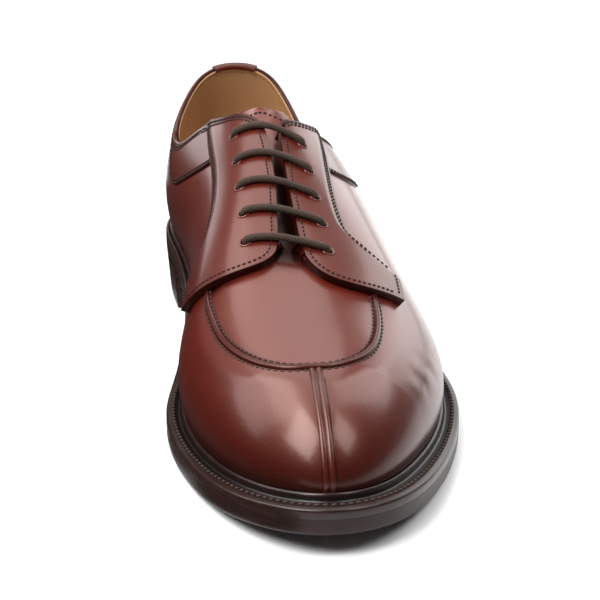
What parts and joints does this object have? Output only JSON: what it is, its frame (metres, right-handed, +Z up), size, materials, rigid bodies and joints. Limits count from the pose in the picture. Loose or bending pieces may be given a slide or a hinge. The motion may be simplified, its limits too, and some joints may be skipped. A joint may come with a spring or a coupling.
{
  "type": "derby shoe",
  "caption": "Left derby shoe in polished brown leather with a split-toe apron front, eyelet facings with a laced throat, welted leather sole and stacked heel.",
  "frame": {"origin": "centre of the sole's box at floor level", "axes": "+Z up; the toe points to -Y and the heel to +Y; +X to the outer side of the foot"},
  "size_m": [0.1126, 0.3083, 0.102],
  "materials": {
    "upper_leather": "polished smooth calf, oxblood brown",
    "sole_leather": "dark dyed and waxed edge",
    "lining_leather": "undyed tan lining",
    "lace_cord": "waxed round cotton cord"
  },
  "bodies": {
    "root": {"outsole": "sole_leather", "heel": "sole_leather", "welt": "sole_leather", "insole": "lining_leather", "upper": "upper_leather", "facing_medial": "upper_leather", "facing_lateral": "upper_leather", "tongue": "upper_leather", "lace_bar_1": "lace_cord", "lace_bar_2": "lace_cord", "lace_bar_3": "lace_cord", "lace_bar_4": "lace_cord", "lace_bar_5": "lace_cord"}
  },
  "joints": []
}
